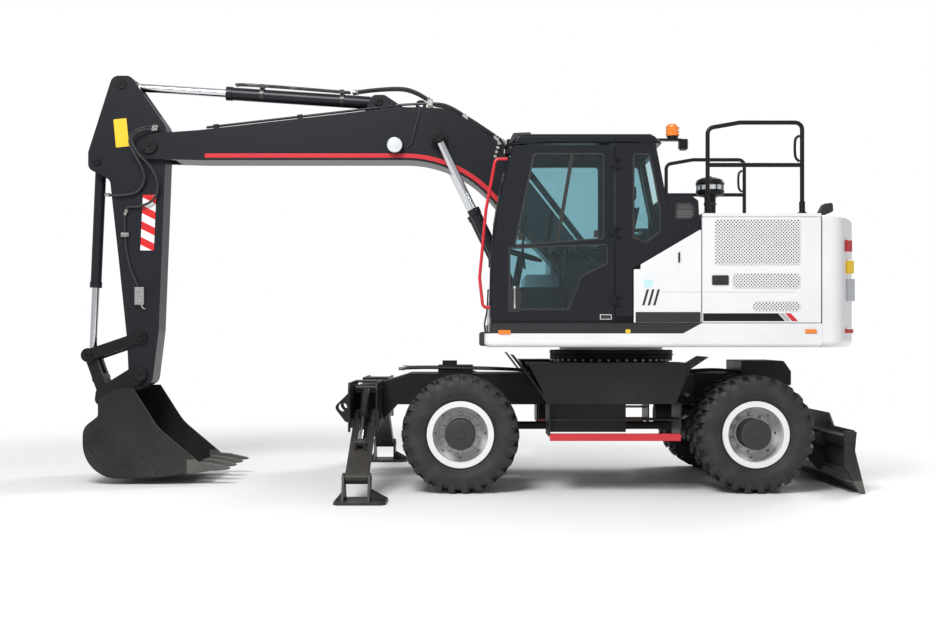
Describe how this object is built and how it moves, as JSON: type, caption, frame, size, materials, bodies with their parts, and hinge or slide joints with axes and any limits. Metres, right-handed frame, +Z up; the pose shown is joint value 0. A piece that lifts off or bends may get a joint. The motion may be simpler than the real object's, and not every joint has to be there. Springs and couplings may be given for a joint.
{
  "type": "wheeled excavator",
  "caption": "Wheeled excavator with boom, arm and bucket, slewing upper body with cab, twin-tyred wheels, front stabilisers and a rear dozer blade.",
  "frame": {"origin": "on the ground, under the middle of the whole machine's box", "axes": "+Z up, -X the way the cab and boom face, -Y the cab's side; the driver's left is -Y"},
  "size_m": [7.372, 3.96, 3.903],
  "materials": {
    "black_paint": "satin",
    "graphite_paint": "satin",
    "white_paint": "gloss",
    "red_paint": "satin",
    "wheel_paint": "satin",
    "chromed_rod": "polished",
    "tyre_rubber": "matte",
    "tinted_glass": "polished",
    "seat_cloth": "matte",
    "cast_steel": "matte"
  },
  "bodies": {
    "chassis": {"chassis_frame": "black_paint", "slew_ring": "cast_steel", "front_axle": "black_paint", "rear_axle": "black_paint", "driveline": "cast_steel", "side_steps": "black_paint"},
    "knuckle_left": {"knuckle_left": "black_paint"},
    "knuckle_right": {"knuckle_right": "black_paint"},
    "steering_rod": {"steering_rod": "chromed_rod"},
    "wheels_front_left": {"tyres_front_left": "tyre_rubber", "rim_front_left": "wheel_paint"},
    "wheels_front_right": {"tyres_front_right": "tyre_rubber", "rim_front_right": "wheel_paint"},
    "wheels_rear_left": {"tyres_rear_left": "tyre_rubber", "rim_rear_left": "wheel_paint"},
    "wheels_rear_right": {"tyres_rear_right": "tyre_rubber", "rim_rear_right": "wheel_paint"},
    "stabiliser_leg_left": {"stabiliser_leg_left": "black_paint"},
    "stabiliser_pad_left": {"stabiliser_pad_left": "black_paint"},
    "stabiliser_barrel_left": {"stabiliser_barrel_left": "graphite_paint"},
    "stabiliser_rod_left": {"stabiliser_rod_left": "chromed_rod"},
    "stabiliser_leg_right": {"stabiliser_leg_right": "black_paint"},
    "stabiliser_pad_right": {"stabiliser_pad_right": "black_paint"},
    "stabiliser_barrel_right": {"stabiliser_barrel_right": "graphite_paint"},
    "stabiliser_rod_right": {"stabiliser_rod_right": "chromed_rod"},
    "blade": {"blade": "black_paint"},
    "blade_barrels": {"blade_barrels": "graphite_paint"},
    "blade_rods": {"blade_rods": "chromed_rod"},
    "upper": {"deck": "white_paint", "counterweight": "white_paint", "hood": "white_paint", "engine_block": "cast_steel", "tanks": "white_paint", "cab_frame": "graphite_paint", "cab_glass": "tinted_glass", "seat": "seat_cloth", "handrails": "black_paint", "grab_rail": "red_paint", "air_stack": "black_paint", "controls": "black_paint", "lamps": "black_paint"},
    "engine_hood": {"engine_hood": "white_paint"},
    "left_engine_door": {"left_engine_door": "white_paint"},
    "left_service_door": {"left_service_door": "white_paint"},
    "right_engine_door": {"right_engine_door": "white_paint"},
    "cab_door": {"cab_door": "graphite_paint", "door_glass": "tinted_glass"},
    "boom": {"boom": "graphite_paint"},
    "boom_barrels": {"boom_barrels": "graphite_paint"},
    "boom_rods": {"boom_rods": "chromed_rod"},
    "arm": {"arm": "graphite_paint"},
    "arm_barrel": {"arm_barrel": "graphite_paint"},
    "arm_rod": {"arm_rod": "chromed_rod"},
    "bucket_barrel": {"bucket_barrel": "graphite_paint"},
    "bucket_rod": {"bucket_rod": "chromed_rod"},
    "rockers": {"rockers": "black_paint"},
    "link": {"link": "black_paint"},
    "bucket": {"bucket": "black_paint"}
  },
  "joints": [
    {"name": "steering_left", "type": "hinge", "parent": "chassis", "child": "knuckle_left", "pos_m": [-0.024, -0.7, 0.52], "axis": [0, 0, 1], "range_deg": [-28, 28]},
    {"name": "steering_right", "type": "hinge", "parent": "chassis", "child": "knuckle_right", "pos_m": [-0.024, 0.7, 0.52], "axis": [0, 0, 1], "range_deg": [-28, 28]},
    {"name": "steering_rod_slide", "type": "slide", "parent": "chassis", "child": "steering_rod", "axis": [0, 1, 0], "range_m": [-0.103, 0.103]},
    {"name": "wheels_front_left_spin", "type": "hinge", "parent": "knuckle_left", "child": "wheels_front_left", "pos_m": [-0.024, -0.945, 0.52], "axis": [0, 1, 0], "continuous": true},
    {"name": "wheels_front_right_spin", "type": "hinge", "parent": "knuckle_right", "child": "wheels_front_right", "pos_m": [-0.024, 0.945, 0.52], "axis": [0, 1, 0], "continuous": true},
    {"name": "wheels_rear_left_spin", "type": "hinge", "parent": "chassis", "child": "wheels_rear_left", "pos_m": [2.576, -0.945, 0.52], "axis": [0, 1, 0], "continuous": true},
    {"name": "wheels_rear_right_spin", "type": "hinge", "parent": "chassis", "child": "wheels_rear_right", "pos_m": [2.576, 0.945, 0.52], "axis": [0, 1, 0], "continuous": true},
    {"name": "stabiliser_left", "type": "hinge", "parent": "chassis", "child": "stabiliser_leg_left", "pos_m": [-0.884, -0.85, 0.66], "axis": [-1, 0, 0], "range_deg": [0, 75]},
    {"name": "stabiliser_left_pad_tilt", "type": "hinge", "parent": "stabiliser_leg_left", "child": "stabiliser_pad_left", "pos_m": [-0.884, -1.78, 0.2], "axis": [-1, 0, 0], "range_deg": [-45.05, 0]},
    {"name": "stabiliser_left_barrel_pivot", "type": "hinge", "parent": "chassis", "child": "stabiliser_barrel_left", "pos_m": [-0.884, -0.74, 0.91], "axis": [-1, 0, 0], "range_deg": [-0.05, 63.8]},
    {"name": "stabiliser_left_rod_slide", "type": "slide", "parent": "stabiliser_barrel_left", "child": "stabiliser_rod_left", "axis": [0, -0.8475, -0.5307], "range_m": [-0.30157, 0.0005]},
    {"name": "stabiliser_right", "type": "hinge", "parent": "chassis", "child": "stabiliser_leg_right", "pos_m": [-0.884, 0.85, 0.66], "axis": [1, 0, 0], "range_deg": [0, 75]},
    {"name": "stabiliser_right_pad_tilt", "type": "hinge", "parent": "stabiliser_leg_right", "child": "stabiliser_pad_right", "pos_m": [-0.884, 1.78, 0.2], "axis": [1, 0, 0], "range_deg": [-45.05, 0]},
    {"name": "stabiliser_right_barrel_pivot", "type": "hinge", "parent": "chassis", "child": "stabiliser_barrel_right", "pos_m": [-0.884, 0.74, 0.91], "axis": [1, 0, 0], "range_deg": [-0.05, 63.8]},
    {"name": "stabiliser_right_rod_slide", "type": "slide", "parent": "stabiliser_barrel_right", "child": "stabiliser_rod_right", "axis": [0, 0.8475, -0.5307], "range_m": [-0.30157, 0.0005]},
    {"name": "blade_lift", "type": "hinge", "parent": "chassis", "child": "blade", "pos_m": [3.136, 0, 0.5], "axis": [0, -1, 0], "range_deg": [-8, 38]},
    {"name": "blade_barrel_pivot", "type": "hinge", "parent": "chassis", "child": "blade_barrels", "pos_m": [2.736, 0, 0.8], "axis": [0, -1, 0], "range_deg": [-2.21, 10.31]},
    {"name": "blade_rod_slide", "type": "slide", "parent": "blade_barrels", "child": "blade_rods", "axis": [0.8431, 0, -0.5378], "range_m": [-0.05356, 0.01167]},
    {"name": "swing", "type": "hinge", "parent": "chassis", "child": "upper", "pos_m": [1.436, 0, 1.256], "axis": [0, 0, 1], "continuous": true},
    {"name": "engine_hood_lift", "type": "hinge", "parent": "upper", "child": "engine_hood", "pos_m": [3.078, 0, 2.482], "axis": [0, 1, 0], "range_deg": [0, 60]},
    {"name": "left_engine_door_swing", "type": "hinge", "parent": "upper", "child": "left_engine_door", "pos_m": [3.121, -1.235, 2], "axis": [0, 0, 1], "range_deg": [0, 95]},
    {"name": "right_engine_door_swing", "type": "hinge", "parent": "upper", "child": "right_engine_door", "pos_m": [3.121, 1.235, 2], "axis": [0, 0, -1], "range_deg": [0, 95]},
    {"name": "left_service_door_swing", "type": "hinge", "parent": "upper", "child": "left_service_door", "pos_m": [1.511, -1.235, 1.8], "axis": [0, 0, -1], "range_deg": [0, 95]},
    {"name": "cab_door_swing", "type": "hinge", "parent": "upper", "child": "cab_door", "pos_m": [1.327, -1.265, 2.3], "axis": [0, 0, -1], "range_deg": [-175, 0]},
    {"name": "boom_lift", "type": "hinge", "parent": "upper", "child": "boom", "pos_m": [1.336, 0, 1.72], "axis": [0, 1, 0], "range_deg": [-36.5, 49]},
    {"name": "boom_barrel_pivot", "type": "hinge", "parent": "upper", "child": "boom_barrels", "pos_m": [0.636, 0, 1.48], "axis": [0, 1, 0], "range_deg": [-36.55, 49.05]},
    {"name": "boom_rod_slide", "type": "slide", "parent": "boom_barrels", "child": "boom_rods", "axis": [-0.4384, 0, 0.8988], "range_m": [-0.42095, 0.56494]},
    {"name": "arm_fold", "type": "hinge", "parent": "boom", "child": "arm", "pos_m": [-3.018, 0, 3.214], "axis": [0, -1, 0], "range_deg": [-90, 19]},
    {"name": "arm_barrel_pivot", "type": "hinge", "parent": "boom", "child": "arm_barrel", "pos_m": [-0.825, 0, 3.659], "axis": [0, -1, 0], "range_deg": [-0.81, 3.65]},
    {"name": "arm_rod_slide", "type": "slide", "parent": "arm_barrel", "child": "arm_rod", "axis": [-0.9978, 0, 0.066], "range_m": [-0.84873, 0.17957]},
    {"name": "bucket_curl", "type": "hinge", "parent": "arm", "child": "bucket", "pos_m": [-3.118, 0, 1.017], "axis": [0, -1, 0], "range_deg": [-85, 60]},
    {"name": "rocker_pivot", "type": "hinge", "parent": "arm", "child": "rockers", "pos_m": [-3.118, 0, 1.376], "axis": [0, -1, 0], "range_deg": [-65.5, 46.25]},
    {"name": "link_pivot", "type": "hinge", "parent": "bucket", "child": "link", "pos_m": [-3.47, 0, 0.794], "axis": [0, -1, 0], "range_deg": [-49.25, 69.75]},
    {"name": "bucket_barrel_pivot", "type": "hinge", "parent": "arm", "child": "bucket_barrel", "pos_m": [-3.538, 0, 3.076], "axis": [0, -1, 0], "range_deg": [-3.45, 2.45]},
    {"name": "bucket_rod_slide", "type": "slide", "parent": "bucket_barrel", "child": "bucket_rod", "axis": [-0.0427, 0, -0.9991], "range_m": [-0.49748, 0.35131]}
  ],
  "couplings": [
    {"joint": "steering_right", "follows": "steering_left", "ratio": 1},
    {"joint": "steering_rod_slide", "follows": "steering_left", "m_per_rad": -0.1921},
    {"joint": "stabiliser_left_pad_tilt", "follows": "stabiliser_left", "ratio": -0.6},
    {"joint": "stabiliser_left_barrel_pivot", "follows": "stabiliser_left", "ratio": 0.85},
    {"joint": "stabiliser_left_rod_slide", "follows": "stabiliser_left", "m_per_rad": -0.23},
    {"joint": "stabiliser_right_pad_tilt", "follows": "stabiliser_right", "ratio": -0.6},
    {"joint": "stabiliser_right_barrel_pivot", "follows": "stabiliser_right", "ratio": 0.85},
    {"joint": "stabiliser_right_rod_slide", "follows": "stabiliser_right", "m_per_rad": -0.23},
    {"joint": "blade_barrel_pivot", "follows": "blade_lift", "ratio": 0.27},
    {"joint": "blade_rod_slide", "follows": "blade_lift", "m_per_rad": -0.08},
    {"joint": "boom_barrel_pivot", "follows": "boom_lift", "ratio": 1},
    {"joint": "boom_rod_slide", "follows": "boom_lift", "m_per_rad": 0.66},
    {"joint": "arm_barrel_pivot", "follows": "arm_fold", "ratio": -0.04},
    {"joint": "arm_rod_slide", "follows": "arm_fold", "m_per_rad": 0.54},
    {"joint": "rocker_pivot", "follows": "bucket_curl", "ratio": 0.77},
    {"joint": "link_pivot", "follows": "bucket_curl", "ratio": -0.82},
    {"joint": "bucket_barrel_pivot", "follows": "bucket_curl", "ratio": 0.04},
    {"joint": "bucket_rod_slide", "follows": "bucket_curl", "m_per_rad": 0.335}
  ]
}
